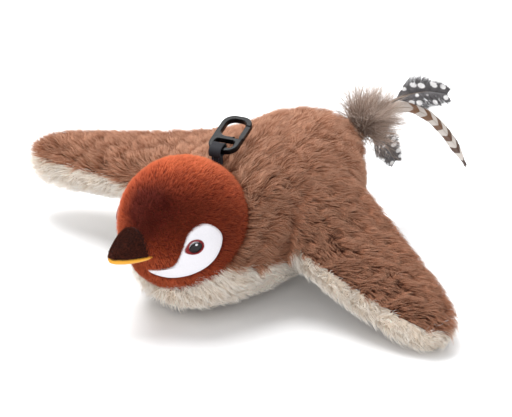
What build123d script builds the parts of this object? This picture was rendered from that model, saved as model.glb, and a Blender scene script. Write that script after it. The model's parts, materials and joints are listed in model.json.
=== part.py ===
"""Flapping plush bird: a soft toy whose two wings are flapped by a geared motor in its belly.

Millimetres, +Z up. The bird rests on its belly at z = 0 and faces -Y, so its own left is +X.
The origin is on the floor under the middle of the whole bird's bounding box.
"""

import os
from math import acos, cos, pi, radians, sin, tan

from build123d import *

# ---------------------------------------------------------------- driving dimensions
# Torso: (y, half width, lowest z, highest z) of each oval cross-section, chest to rump.
TORSO_SECTIONS = (
    (-90, 10, 13, 31),
    (-84, 22, 5, 41),
    (-69, 31, 0, 51),
    (-44, 36.5, -2, 58),
    (-14, 36.5, -2, 60),
    (11, 34, 2, 57),
    (28, 27, 8, 51),
    (40, 15, 16, 45),
    (46, 7, 22, 39),
)
COLOUR_SEAM_Z = 22  # the seam between the brown back and the cream belly

# Head
HEAD_R = 29.5
HEAD_Y, HEAD_Z = -73, 40.6
HEAD_YAW = -7  # the head looks a little to the bird's right
HEAD_SKIN = 2.5

# Wings: (radius from the hinge, front y, rear y, thickness) with the wing level.
HINGE_X, HINGE_Z = 17, 33
WING_SECTIONS = (
    (15, -49, 26, 20),
    (38, -50.5, 9, 20),
    (62, -52, -9, 18.5),
    (84, -51, -21, 16),
    (99, -47, -27, 12),
    (107, -42, -33, 6),
)
WING_ROOT_R = 20.3
TORSO_NOTCH_R = 19.7
LEFT_DROOP, RIGHT_DROOP = 13, 4  # how far each wing hangs below level at rest
FLAP_STROKE = 40  # degrees that each wing rises

# Drive module
CASE_X, CASE_Y0, CASE_Y1, CASE_Z0, CASE_Z1 = 23, -48, 12, 13, 43
CASE_WALL, CASE_CORNER = 1.5, 4
POUCH_WALL = 1.2
LEVER_Y, LEVER_W = -32, 8  # middle and width of the wing levers along the hinge
PIVOT_R, RUN_GAP = 1.5, 0.05

# Gears: one module and one pinion and wheel size for all three reduction stages
GEAR_MODULE, PINION_TEETH, WHEEL_TEETH = 0.4, 14, 42
ADDENDUM, DEDENDUM, TOOTH_SHARE = 0.8, 1.25, 0.42
AXIS_Z = 29
AXLE_R = 0.75
SHAFT_R = 0.5
CENTRE_DISTANCE = GEAR_MODULE * (PINION_TEETH + WHEEL_TEETH) / 2

# Linkage: the crank lifts a yoke, whose two pins turn the wing levers
INNER_ARM = 8
ARM_TILT = FLAP_STROKE / 2
YOKE_TRAVEL = INNER_ARM * radians(FLAP_STROKE)
CRANK_THROW = YOKE_TRAVEL / 2
YOKE_RISE = YOKE_TRAVEL / 2  # the yoke's height above mid-stroke, wings down
PIN_R = 1.0
YOKE_Y0, YOKE_Y1 = -27.5, -24.5
OPEN_PIVOT_GAP = 0.4

# Gear frame and motor, spans along Y unless named Z
FRAME_BASE_Z = (18, 19.6)
FRAME_X = 20
FRONT_PLATE_Y = (-39, -37.4)
EAR_Y = (-27.2, -25.5)
BRACKET_Y = (-23.4, -22)
REAR_PLATE_Y = (-11.4, -10)
MOTOR_Y = (-9.8, 5)
MOTOR_R, NOSE_R = 6, 2.2

# Snap clip on the neck ribbon
CLIP_AT = (-0.2, -50, 66.9)
CLIP_YAW, CLIP_RISE = 18, 16
CLIP_L, CLIP_W, CLIP_T, CLIP_BAR = 24.5, 14, 2.6, 2.4
SLOT_L = 5.2

# Tail
TAIL_ROOT = (0, 41, 46)

os.makedirs("parts", exist_ok=True)


def save(piece, label):
    piece.part.label = label
    export_step(piece.part, f"parts/{label}.step")


def mid(span):
    return (span[0] + span[1]) / 2


def size(span):
    return span[1] - span[0]


def around(middle, width):
    return (middle - width / 2, middle + width / 2)


def block(x, y, z, mode=Mode.ADD):
    """A box between two values along each axis."""
    with Locations((mid(x), mid(y), mid(z))):
        Box(size(x), size(y), size(z), mode=mode)


def rod_y(radius, x, z, y, mode=Mode.ADD):
    """A round bar along Y."""
    with Locations(Location((x, mid(y), z), (90, 0, 0))):
        Cylinder(radius, size(y), mode=mode)


def rod_z(radius, x, y, z, mode=Mode.ADD):
    """A round bar along Z."""
    with Locations((x, y, mid(z))):
        Cylinder(radius, size(z), mode=mode)


def polar(radius, angle, centre=(0, 0)):
    return (centre[0] + radius * cos(radians(angle)), centre[1] + radius * sin(radians(angle)))


def side_plane(side, y):
    """An upright cross-section plane whose local x points outwards on the given side."""
    return Plane(origin=(0, y, 0), x_dir=(side, 0, 0), z_dir=(0, -side, 0))


def wing_plane(side, droop):
    """The level wing's own XY plane, turned down about the hinge by the droop."""
    return Plane(
        origin=(side * HINGE_X, 0, HINGE_Z),
        x_dir=(side * cos(radians(droop)), 0, -sin(radians(droop))),
        z_dir=(side * sin(radians(droop)), 0, cos(radians(droop))),
    )


head_plane = Plane(
    origin=(0, HEAD_Y, HEAD_Z),
    x_dir=(cos(radians(HEAD_YAW)), sin(radians(HEAD_YAW)), 0),
    z_dir=(0, 0, 1),
)

# ---------------------------------------------------------------- torso plush
NOTCH_FROM, NOTCH_TO = -50, 75  # degrees about the hinge that the wing root sweeps
NOTCH_Y = (-51, 30)
ARM_SLOT_FROM, ARM_SLOT_TO = -36, 58
ARM_SLOT_Y = (LEVER_Y - LEVER_W / 2 - 1, LEVER_Y + LEVER_W / 2 + 1)
POUCH_X = CASE_X + POUCH_WALL
POUCH_Y = (CASE_Y0 - POUCH_WALL, CASE_Y1 + POUCH_WALL)
POUCH_Z = (CASE_Z0 - POUCH_WALL, CASE_Z1 + POUCH_WALL)
FLAP_X, FLAP_Y = 18, (-44, 6)
FLAP_GAP, FLAP_SWING_GAP = 0.4, 1.6


def sweep_notch(side, inner_r, outer_r, angles, y):
    """Cuts the space that a part turning about one wing hinge needs."""
    hinge = (HINGE_X, HINGE_Z)
    with BuildSketch(side_plane(side, mid(y))) as fan:
        with BuildLine():
            points = [polar(inner_r, a, hinge) for a in angles]
            outer = [polar(outer_r, a, hinge) for a in reversed(angles)]
            ThreePointArc(points[0], points[len(points) // 2], points[-1])
            Polyline(points[-1], *outer, points[0])
        make_face()
    extrude(fan.sketch, amount=size(y) / 2, both=True, mode=Mode.SUBTRACT)


def angle_steps(first, last, steps):
    return [first + (last - first) * i / steps for i in range(steps + 1)]


def torso_body():
    sections = []
    for y, half_width, low, high in TORSO_SECTIONS:
        with BuildSketch(Plane.XZ.offset(-y)) as section:
            with Locations((0, (low + high) / 2)):
                Ellipse(half_width, (high - low) / 2)
        sections.append(section.sketch)
    loft(sections)
    block((-60, 60), (-100, 60), (-20, 0), Mode.SUBTRACT)
    with Locations((0, HEAD_Y, HEAD_Z)):
        Sphere(HEAD_R + RUN_GAP, mode=Mode.SUBTRACT)
    for side in (1, -1):
        sweep_notch(side, TORSO_NOTCH_R, 48, angle_steps(NOTCH_FROM, NOTCH_TO, 6), NOTCH_Y)
        sweep_notch(side, 2, 48, angle_steps(ARM_SLOT_FROM, ARM_SLOT_TO, 4), ARM_SLOT_Y)
    block((-POUCH_X, POUCH_X), POUCH_Y, POUCH_Z, Mode.SUBTRACT)


with BuildPart() as back_plush:
    torso_body()
    block((-60, 60), (-100, 60), (-20, COLOUR_SEAM_Z), Mode.SUBTRACT)
save(back_plush, "back_plush")

with BuildPart() as belly_plush:
    torso_body()
    block((-60, 60), (-100, 60), (COLOUR_SEAM_Z, 80), Mode.SUBTRACT)
    block((-FLAP_X, FLAP_X), FLAP_Y, (-20, POUCH_Z[0] + 1), Mode.SUBTRACT)
save(belly_plush, "belly_plush")

with BuildPart() as belly_flap:
    torso_body()
    block((-60, 60), (-100, 60), (POUCH_Z[0] - 1.8, 80), Mode.SUBTRACT)
    block((-60, 60), (-100, FLAP_Y[0] + FLAP_GAP), (-20, 80), Mode.SUBTRACT)
    block((-60, 60), (FLAP_Y[1] - FLAP_SWING_GAP, 60), (-20, 80), Mode.SUBTRACT)
    for side in (1, -1):
        with Locations((side * (FLAP_X - FLAP_GAP + 30), 0, 0)):
            Box(60, 220, 120, mode=Mode.SUBTRACT)
save(belly_flap, "belly_flap")

TAPE_X, TAPE_Y, TAPE_T = (12, 17), (-38, 0), 0.6
FLAP_TOP = POUCH_Z[0] - 1.8
with BuildPart() as hook_tape:
    for side in (1, -1):
        block(sorted((side * TAPE_X[0], side * TAPE_X[1])), TAPE_Y, (FLAP_TOP, FLAP_TOP + TAPE_T))
save(hook_tape, "hook_tape")

with BuildPart() as loop_tape:
    for side in (1, -1):
        block(sorted((side * TAPE_X[0], side * TAPE_X[1])), TAPE_Y, (POUCH_Z[0] - TAPE_T, POUCH_Z[0]))
save(loop_tape, "loop_tape")

with BuildPart() as inner_pouch:
    block((-POUCH_X, POUCH_X), POUCH_Y, POUCH_Z)
    with BuildSketch(Plane.XY.offset(CASE_Z0)):
        with Locations((0, mid((CASE_Y0, CASE_Y1)))):
            RectangleRounded(2 * CASE_X, CASE_Y1 - CASE_Y0, CASE_CORNER)
    extrude(amount=CASE_Z1 - CASE_Z0, mode=Mode.SUBTRACT)
    window_y = (FLAP_Y[0] + 2, FLAP_Y[1] - 2)
    block((-TAPE_X[0], TAPE_X[0]), window_y, (POUCH_Z[0] - 1, CASE_Z0 + 1), Mode.SUBTRACT)
    for side in (1, -1):
        sweep_notch(side, 2, 48, angle_steps(ARM_SLOT_FROM, ARM_SLOT_TO, 4), ARM_SLOT_Y)
save(inner_pouch, "inner_pouch")

# ---------------------------------------------------------------- wings
WIRE_R, WIRE_GAP = 1.0, 0.15
WIRE_FRONT_Y, WIRE_REAR_Y = LEVER_Y - 5, LEVER_Y + 5
WIRE_START_R, WIRE_TIP_R = 27, 96
PAD_R = (23.5, 35)
PAD_HALF_Y, ARM_T = 8, 4


def wire_path(side):
    """The spring-wire loop inside a wing, in the level wing's plane."""
    points = (
        (WIRE_START_R, side * WIRE_FRONT_Y),
        (60, side * (WIRE_FRONT_Y + 1)),
        (WIRE_TIP_R, side * (WIRE_FRONT_Y + 4)),
        (WIRE_TIP_R, side * (WIRE_REAR_Y + 3)),
        (60, side * (WIRE_REAR_Y + 6)),
        (WIRE_START_R, side * WIRE_REAR_Y),
    )
    return FilletPolyline(*points, radius=3.4)


def wire_tube(side, plane, radius, mode=Mode.ADD):
    with BuildLine(plane) as loop:
        wire_path(side)
    with BuildSketch(Plane(loop.line @ 0, z_dir=loop.line % 0)) as section:
        Circle(radius)
    sweep(section.sketch, path=loop.line, mode=mode)


def wing_blank(side, plane):
    """The whole wing cushion with room for its lever and wire."""
    sections = []
    for radius, front, rear, thickness in WING_SECTIONS:
        upright = Plane(
            origin=plane.from_local_coords((radius, 0, 0)),
            x_dir=(0, 1, 0),
            z_dir=plane.x_dir * side,
        )
        with BuildSketch(upright) as section:
            with Locations((mid((front, rear)), 0)):
                RectangleRounded(rear - front, thickness, thickness * 0.47)
        sections.append(section.sketch)
    loft(sections)
    rod_y(WING_ROOT_R, side * HINGE_X, HINGE_Z, (-80, 60), Mode.SUBTRACT)
    block(sorted((side * (HINGE_X + 14), side * (HINGE_X - 60))), (-80, 60), (-40, 100), Mode.SUBTRACT)
    with BuildSketch(plane) as pocket:
        with Locations((mid((10, PAD_R[1] + 0.2)), side * LEVER_Y)):
            Rectangle(PAD_R[1] - 9.8, 2 * PAD_HALF_Y + 0.4)
    extrude(pocket.sketch, amount=ARM_T / 2 + 0.2, both=True, mode=Mode.SUBTRACT)
    wire_tube(side, plane, WIRE_R + WIRE_GAP, Mode.SUBTRACT)


def wing_half(side, plane, upper):
    wing_blank(side, plane)
    keep_away = -1 if upper else 1
    with BuildSketch(plane) as middle:
        Rectangle(400, 400)
    extrude(middle.sketch, amount=keep_away * 60, mode=Mode.SUBTRACT)


def wing_lever(side, plane):
    """Hub, fork arm to the yoke and outer arm with the wire pad."""
    lever_y = (LEVER_Y - LEVER_W / 2, LEVER_Y + LEVER_W / 2)
    rod_y(3.2, side * HINGE_X, HINGE_Z, lever_y)
    with BuildSketch(plane) as outer_arm:
        with Locations((mid((0, PAD_R[0] + 1)), side * LEVER_Y)):
            Rectangle(PAD_R[0] + 1, LEVER_W)
        with Locations((mid(PAD_R), side * LEVER_Y)):
            RectangleRounded(size(PAD_R), 2 * PAD_HALF_Y, 2)
    extrude(outer_arm.sketch, amount=ARM_T / 2, both=True)
    tilt = radians(ARM_TILT)
    arm = Plane(
        origin=(side * HINGE_X, LEVER_Y, HINGE_Z),
        x_dir=(-side * cos(tilt), 0, sin(tilt)),
        z_dir=(0, 1, 0),
    )
    with BuildSketch(arm) as inner_arm:
        with Locations((4.9, 0)):
            RectangleRounded(9.8, 5.2, 1)
    extrude(inner_arm.sketch, amount=LEVER_W / 2, both=True)
    with BuildSketch(arm) as fork:
        with Locations((9, 0)):
            SlotOverall(5.2, 2 * (PIN_R + 0.3))
    extrude(fork.sketch, amount=LEVER_W, both=True, mode=Mode.SUBTRACT)
    rod_y(PIVOT_R + RUN_GAP, side * HINGE_X, HINGE_Z, (-60, -10), Mode.SUBTRACT)
    wire_tube(side, plane, WIRE_R, Mode.SUBTRACT)
    with BuildSketch(plane) as screw_hole:
        with Locations((31, side * LEVER_Y)):
            Circle(1)
    extrude(screw_hole.sketch, amount=ARM_T, both=True, mode=Mode.SUBTRACT)


for name, side, droop in (("left", 1, LEFT_DROOP), ("right", -1, RIGHT_DROOP)):
    plane = wing_plane(side, droop)

    with BuildPart() as wing_top:
        wing_half(side, plane, True)
    save(wing_top, f"{name}_wing_top_plush")

    with BuildPart() as wing_under:
        wing_half(side, plane, False)
    save(wing_under, f"{name}_wing_under_plush")

    with BuildPart() as lever:
        wing_lever(side, plane)
    save(lever, f"{name}_wing_lever")

    with BuildPart() as wire:
        wire_tube(side, plane, WIRE_R)
    save(wire, f"{name}_wing_wire")

    with BuildPart() as pad_screw:
        with BuildSketch(plane.offset(-ARM_T / 2)):
            with Locations((31, side * LEVER_Y)):
                Circle(1)
        extrude(amount=ARM_T)
        with BuildSketch(plane.offset(ARM_T / 2)):
            with Locations((31, side * LEVER_Y)):
                Circle(2)
        extrude(amount=0.2)
    save(pad_screw, f"{name}_pad_screw")

    with BuildPart() as pivot_pin:
        rod_y(PIVOT_R, side * HINGE_X, HINGE_Z, (FRONT_PLATE_Y[0], EAR_Y[1]))
    save(pivot_pin, f"{name}_pivot_pin")

# ---------------------------------------------------------------- drive module casing
SCREW_X, SCREW_Y = 19.3, (-44.5, 8.5)
BOSS_R, SCREW_R, SCREW_HEAD_R = 2.0, 0.9, 1.7
BUTTON_X, BUTTON_Y, BUTTON_R = 9, -2, 3
USB_X, USB_Y, USB_W, USB_D = -6, -2, 9.0, 3.2
USB_WALL, TONGUE_W, TONGUE_T = 0.4, 6.6, 0.7
BATTERY_X, BATTERY_Y, BATTERY_Z = (0.5, 16.5), (-9.5, 5.2), (22.2, 36)
BOARD_X, BOARD_Y = (-16.8, 16.8), (-9.5, 9.2)
SWITCH_W, SWITCH_Z0 = 5, 17.6
SENSOR_AT, SENSOR_R, SENSOR_TOP = (-2.6, -4), 1.7, 27
SPEAKER_R, MAGNET_R, SPEAKER_Z = 9, 5, 28
SPEAKER_BACK_Y, MAGNET_BACK_Y = -42.4, -41
LED_X, LED_Y, LED_R = 2.5, 2, 1.5
RAIL_X = (16.5, 18.5)
BOARD_Z = (19.4, 20.6)
screw_points = [(side * SCREW_X, y) for side in (1, -1) for y in SCREW_Y]


def case_block(z, inset=0.0, mode=Mode.ADD):
    with BuildSketch(Plane.XY.offset(z[0])) as outline:
        with Locations((0, mid((CASE_Y0, CASE_Y1)))):
            RectangleRounded(2 * (CASE_X - inset), CASE_Y1 - CASE_Y0 - 2 * inset, CASE_CORNER - inset)
    extrude(outline.sketch, amount=size(z), mode=mode)


def lever_ports():
    for side in (1, -1):
        block(sorted((side * 20, side * 30)), (LEVER_Y - 5, LEVER_Y + 5), (28.5, 40), Mode.SUBTRACT)


with BuildPart() as case_lower:
    case_block((CASE_Z0, HINGE_Z))
    case_block((CASE_Z0 + CASE_WALL, HINGE_Z + 1), CASE_WALL, Mode.SUBTRACT)
    for x, y in screw_points:
        rod_z(BOSS_R, x, y, (CASE_Z0 + CASE_WALL, HINGE_Z))
    for x, y in screw_points:
        rod_z(SCREW_R, x, y, (CASE_Z0, HINGE_Z), Mode.SUBTRACT)
        rod_z(SCREW_HEAD_R, x, y, (CASE_Z0, CASE_Z0 + 1), Mode.SUBTRACT)
    for side in (1, -1):
        rail = sorted((side * RAIL_X[0], side * RAIL_X[1]))
        block(rail, (FRONT_PLATE_Y[0], REAR_PLATE_Y[0]), (CASE_Z0 + CASE_WALL, FRAME_BASE_Z[0]))
        block(sorted((side * 14, side * 16)), (-8, 6), (CASE_Z0 + CASE_WALL, BOARD_Z[0]))
    lever_ports()
    rod_z(BUTTON_R + 0.1, BUTTON_X, BUTTON_Y, (CASE_Z0 - 1, 15), Mode.SUBTRACT)
    rod_z(LED_R + 0.05, LED_X, LED_Y, (CASE_Z0 - 1, 15), Mode.SUBTRACT)
    block(around(USB_X, USB_W), around(USB_Y, USB_D), (12, 15), Mode.SUBTRACT)
save(case_lower, "module_case_lower")

with BuildPart() as case_upper:
    case_block((HINGE_Z, CASE_Z1))
    case_block((HINGE_Z - 1, CASE_Z1 - CASE_WALL), CASE_WALL, Mode.SUBTRACT)
    for x, y in screw_points:
        rod_z(BOSS_R, x, y, (HINGE_Z, CASE_Z1 - CASE_WALL))
    for x, y in screw_points:
        rod_z(SCREW_R, x, y, (HINGE_Z, 38), Mode.SUBTRACT)
    lever_ports()
save(case_upper, "module_case_upper")

with BuildPart() as case_screws:
    for x, y in screw_points:
        rod_z(SCREW_R, x, y, (CASE_Z0, 38))
        rod_z(SCREW_HEAD_R, x, y, (CASE_Z0, CASE_Z0 + 1))
save(case_screws, "case_screws")

# ---------------------------------------------------------------- gear train
CRANK_GEAR_Y = (-21, -18.5)
GEAR_TWO_WHEEL_Y = (-17.5, -15.6)
GEAR_ONE_WHEEL_Y = (-14.4, -12.6)
MOTOR_PINION_Y = (-14.6, -12.4)
PRESSURE_ANGLE = radians(20)
HALF_PITCH = {teeth: 180 / teeth for teeth in (PINION_TEETH, WHEEL_TEETH)}
MOTOR_AXIS_X = -CENTRE_DISTANCE


def involute(radius, base):
    """How far an involute has turned, in radians, at a radius."""
    if radius <= base:
        return 0.0
    angle = acos(base / radius)
    return tan(angle) - angle


def tooth_points(teeth, turn):
    """The outline of a spur gear, four points on each flank, turned by some degrees."""
    pitch_r = GEAR_MODULE * teeth / 2
    base = pitch_r * cos(PRESSURE_ANGLE)
    root = pitch_r - DEDENDUM * GEAR_MODULE
    tip = pitch_r + ADDENDUM * GEAR_MODULE
    flank = [root, max(base, root + 0.05), (max(base, root) + tip) / 2, tip]
    half = TOOTH_SHARE * pi / teeth + involute(pitch_r, base)
    angles = [half - involute(radius, base) for radius in flank]
    points = []
    for tooth in range(teeth):
        centre = 2 * pi * tooth / teeth + radians(turn)
        rising = [(r, centre - a) for r, a in zip(flank, angles)]
        falling = [(r, centre + a) for r, a in reversed(list(zip(flank, angles)))]
        points += [(r * cos(a), r * sin(a)) for r, a in rising + falling]
    return points


def spur(teeth, x, y, turn=0.0):
    """A toothed disc about an axis along Y."""
    with BuildSketch(Plane(origin=(x, y[0], AXIS_Z), x_dir=(1, 0, 0), z_dir=(0, 1, 0))) as outline:
        with BuildLine():
            Polyline(*tooth_points(teeth, turn), close=True)
        make_face()
    extrude(outline.sketch, amount=size(y))


with BuildPart() as crank_gear:
    spur(WHEEL_TEETH, 0, CRANK_GEAR_Y, HALF_PITCH[WHEEL_TEETH])
    rod_y(2, 0, AXIS_Z, (CRANK_GEAR_Y[0], CRANK_GEAR_Y[1] + 0.7))
    rod_y(PIN_R, 0, AXIS_Z + CRANK_THROW, (YOKE_Y1 + OPEN_PIVOT_GAP, CRANK_GEAR_Y[0]))
    rod_y(AXLE_R + RUN_GAP, 0, AXIS_Z, (-20.5, -10), Mode.SUBTRACT)
save(crank_gear, "crank_gear")

with BuildPart() as gear_two:
    spur(WHEEL_TEETH, MOTOR_AXIS_X, GEAR_TWO_WHEEL_Y, HALF_PITCH[WHEEL_TEETH])
    spur(PINION_TEETH, MOTOR_AXIS_X, (-21.2, GEAR_TWO_WHEEL_Y[0]))
    rod_y(AXLE_R + RUN_GAP, MOTOR_AXIS_X, AXIS_Z, (-30, -10), Mode.SUBTRACT)
save(gear_two, "gear_two")

with BuildPart() as gear_one:
    spur(WHEEL_TEETH, 0, GEAR_ONE_WHEEL_Y, HALF_PITCH[WHEEL_TEETH])
    spur(PINION_TEETH, 0, (-17.6, GEAR_ONE_WHEEL_Y[0]))
    rod_y(AXLE_R + RUN_GAP, 0, AXIS_Z, (-30, -10), Mode.SUBTRACT)
save(gear_one, "gear_one")

with BuildPart() as motor_pinion:
    spur(PINION_TEETH, MOTOR_AXIS_X, MOTOR_PINION_Y)
    rod_y(SHAFT_R, MOTOR_AXIS_X, AXIS_Z, (-20, -10), Mode.SUBTRACT)
save(motor_pinion, "motor_pinion")

with BuildPart() as gear_frame:
    block((-FRAME_X, FRAME_X), (FRONT_PLATE_Y[0], REAR_PLATE_Y[1]), FRAME_BASE_Z)
    for side in (1, -1):
        outer = sorted((side * 13.5, side * FRAME_X))
        block(outer, FRONT_PLATE_Y, (FRAME_BASE_Z[0], 37))
        block(outer, EAR_Y, (FRAME_BASE_Z[0], 37))
    block((-FRAME_X, 12), REAR_PLATE_Y, (FRAME_BASE_Z[0], 35))
    block((MOTOR_AXIS_X - 3, MOTOR_AXIS_X + 3), BRACKET_Y, (FRAME_BASE_Z[0], 32))
    for side in (1, -1):
        rod_y(PIVOT_R, side * HINGE_X, HINGE_Z, (-50, -20), Mode.SUBTRACT)
    rod_y(AXLE_R, 0, AXIS_Z, (-12, -9), Mode.SUBTRACT)
    rod_y(NOSE_R, MOTOR_AXIS_X, AXIS_Z, (-12, -9), Mode.SUBTRACT)
    rod_y(AXLE_R, MOTOR_AXIS_X, AXIS_Z, (-24, -21), Mode.SUBTRACT)
    for x in (-7, 7):
        rod_z(0.8, x, mid((YOKE_Y0, YOKE_Y1)), (17, 21), Mode.SUBTRACT)
save(gear_frame, "gear_frame")

with BuildPart() as axle_a:
    rod_y(AXLE_R, 0, AXIS_Z, (-20.4, REAR_PLATE_Y[1]))
save(axle_a, "axle_a")

with BuildPart() as axle_b:
    rod_y(AXLE_R, MOTOR_AXIS_X, AXIS_Z, (BRACKET_Y[0], -15.4))
save(axle_b, "axle_b")

with BuildPart() as motor_can:
    rod_y(MOTOR_R, MOTOR_AXIS_X, AXIS_Z, MOTOR_Y)
    rod_y(NOSE_R, MOTOR_AXIS_X, AXIS_Z, (REAR_PLATE_Y[0], MOTOR_Y[0]))
    rod_y(MOTOR_R - 0.8, MOTOR_AXIS_X, AXIS_Z, (MOTOR_Y[0] + 1, MOTOR_Y[1]), Mode.SUBTRACT)
    rod_y(SHAFT_R + RUN_GAP, MOTOR_AXIS_X, AXIS_Z, (-12, 0), Mode.SUBTRACT)
save(motor_can, "motor_can")

with BuildPart() as motor_end_cap:
    rod_y(MOTOR_R, MOTOR_AXIS_X, AXIS_Z, (MOTOR_Y[1], MOTOR_Y[1] + 1.5))
    for x in (-2.5, 2.5):
        block((MOTOR_AXIS_X + x - 0.6, MOTOR_AXIS_X + x + 0.6), (6.4, 8), (28, 30))
save(motor_end_cap, "motor_end_cap")

with BuildPart() as motor_rotor:
    rod_y(MOTOR_R - 1.4, MOTOR_AXIS_X, AXIS_Z, (-8, 3.5))
    rod_y(SHAFT_R, MOTOR_AXIS_X, AXIS_Z, (-10, 5), Mode.SUBTRACT)
save(motor_rotor, "motor_rotor")

with BuildPart() as motor_shaft:
    rod_y(SHAFT_R, MOTOR_AXIS_X, AXIS_Z, (MOTOR_PINION_Y[0], 4.4))
save(motor_shaft, "motor_shaft")

# ---------------------------------------------------------------- yoke
YOKE_X = 10.4
GUIDE_X, GUIDE_R = 7, 0.8
CRANK_REST_Z = AXIS_Z + CRANK_THROW

with BuildPart() as yoke:
    block((-YOKE_X, YOKE_X), (YOKE_Y0, YOKE_Y1), (CRANK_REST_Z - 3, HINGE_Z + YOKE_RISE + 2))
    for side in (1, -1):
        rod_y(PIN_R, side * (HINGE_X - INNER_ARM), HINGE_Z + YOKE_RISE, (-35.5, YOKE_Y0))
    with BuildSketch(Plane.XZ.offset(-YOKE_Y1)):
        with Locations((0, CRANK_REST_Z)):
            SlotOverall(2 * (CRANK_THROW + PIN_R) + 0.8, 2 * PIN_R + 0.4)
    extrude(amount=4, mode=Mode.SUBTRACT)
    for x in (-GUIDE_X, GUIDE_X):
        rod_z(GUIDE_R + 0.07, x, mid((YOKE_Y0, YOKE_Y1)), (20, 45), Mode.SUBTRACT)
save(yoke, "yoke")

with BuildPart() as yoke_guides:
    for x in (-GUIDE_X, GUIDE_X):
        rod_z(GUIDE_R, x, mid((YOKE_Y0, YOKE_Y1)), (FRAME_BASE_Z[0], 40.5))
save(yoke_guides, "yoke_guides")

# ---------------------------------------------------------------- electronics
with BuildPart() as circuit_board:
    block(BOARD_X, BOARD_Y, BOARD_Z)
    block((-3, 3), (4, 8), (BOARD_Z[1], BOARD_Z[1] + 1.2))
save(circuit_board, "circuit_board")

with BuildPart() as battery:
    block(BATTERY_X, BATTERY_Y, BATTERY_Z)
    fillet(battery.edges().filter_by(Axis.X), 2)
save(battery, "battery")

with BuildPart() as usb_port:
    block(around(USB_X, USB_W), around(USB_Y, USB_D), (13.4, BOARD_Z[0]))
    block(around(USB_X, USB_W - 2 * USB_WALL), around(USB_Y, USB_D - 2 * USB_WALL), (13, 18), Mode.SUBTRACT)
    block(around(USB_X, TONGUE_W), around(USB_Y, TONGUE_T), (13.9, 18))
save(usb_port, "usb_port")

with BuildPart() as power_button:
    rod_z(BUTTON_R, BUTTON_X, BUTTON_Y, (12.4, 15))
    rod_z(BUTTON_R + 1, BUTTON_X, BUTTON_Y, (CASE_Z0 + CASE_WALL, 15.4))
    rod_z(1, BUTTON_X, BUTTON_Y, (15, 17))
save(power_button, "power_button")

with BuildPart() as tact_switch:
    block(around(BUTTON_X, SWITCH_W), around(BUTTON_Y, SWITCH_W), (SWITCH_Z0, BOARD_Z[0]))
save(tact_switch, "tact_switch")

with BuildPart() as status_led:
    rod_z(LED_R, LED_X, LED_Y, (13.2, BOARD_Z[0]))
save(status_led, "status_led")

with BuildPart() as vibration_sensor:
    rod_z(SENSOR_R, *SENSOR_AT, (BOARD_Z[1], SENSOR_TOP))
save(vibration_sensor, "vibration_sensor")

with BuildPart() as speaker:
    rod_y(SPEAKER_R, 0, SPEAKER_Z, (CASE_Y0 + CASE_WALL, SPEAKER_BACK_Y))
    rod_y(MAGNET_R, 0, SPEAKER_Z, (SPEAKER_BACK_Y, MAGNET_BACK_Y))
save(speaker, "speaker")

with BuildPart() as motor_leads:
    for x in (-2.5, 2.5):
        with BuildLine() as lead:
            FilletPolyline(
                (MOTOR_AXIS_X + x, 8, AXIS_Z),
                (MOTOR_AXIS_X + x, 8.8, AXIS_Z),
                (MOTOR_AXIS_X + x, 8.8, BOARD_Z[1]),
                radius=0.7,
            )
        with BuildSketch(Plane(lead.line @ 0, z_dir=lead.line % 0)):
            Circle(0.4)
        sweep(path=lead.line)
save(motor_leads, "motor_leads")

# ---------------------------------------------------------------- head
NECK_ROOM = ((-POUCH_X - 0.5, POUCH_X + 0.5), (POUCH_Y[0] - 0.3, 0), (0, POUCH_Z[1] + 0.3))

with BuildPart() as head_plush:
    with Locations((0, HEAD_Y, HEAD_Z)):
        Sphere(HEAD_R)
        Sphere(HEAD_R - HEAD_SKIN, mode=Mode.SUBTRACT)
    block(*NECK_ROOM, Mode.SUBTRACT)
save(head_plush, "head_plush")

with BuildPart() as head_stuffing:
    with Locations((0, HEAD_Y, HEAD_Z)):
        Sphere(HEAD_R - HEAD_SKIN - RUN_GAP)
    block(*NECK_ROOM, Mode.SUBTRACT)
save(head_stuffing, "head_stuffing")

PATCH_T, EYE_T = 0.7, 0.5
PATCH_AZIMUTH = 56  # degrees from the beak to the middle of the eye patch
EYE_AT, EYE_HALF_W, EYE_HALF_H = (1.6, 1.6), 4.1, 3.5
# Teardrop, (backwards, up) on the cheek: round behind the eye, drawn to a point below the beak
PATCH_OUTLINE = (
    (-18, -13.3), (-8, -8.5), (-4, 0), (-1.2, 7.3), (5, 10.8),
    (11, 8.3), (13.9, 2.5), (10, -6.5), (1, -12.6), (-10, -15.4),
)


def face_plane(side):
    """Faces outwards from the head's middle through an eye patch."""
    turn = radians(PATCH_AZIMUTH)
    local = Vector(side * sin(turn), -cos(turn), 0)
    outward = head_plane.from_local_coords(local) - head_plane.origin
    backwards = outward.cross(Vector(0, 0, -side))
    return Plane(origin=head_plane.origin, x_dir=backwards, z_dir=outward * side)


def dome(inner, outer):
    with Locations((0, HEAD_Y, HEAD_Z)):
        Sphere(outer, mode=Mode.INTERSECT)
        Sphere(inner, mode=Mode.SUBTRACT)


for name, side in (("left", 1), ("right", -1)):
    with BuildPart() as eye_patch:
        with BuildSketch(face_plane(side)):
            with BuildLine():
                Spline(*PATCH_OUTLINE, periodic=True)
            make_face()
        extrude(amount=side * 40)
        dome(HEAD_R + RUN_GAP, HEAD_R + PATCH_T)
    save(eye_patch, f"{name}_eye_patch")

    with BuildPart() as eye:
        with BuildSketch(face_plane(side)):
            with Locations(EYE_AT):
                Ellipse(EYE_HALF_W, EYE_HALF_H, rotation=20)
        extrude(amount=side * 40)
        dome(HEAD_R + PATCH_T + 0.02, HEAD_R + PATCH_T + EYE_T)
    save(eye, f"{name}_eye")

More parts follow.
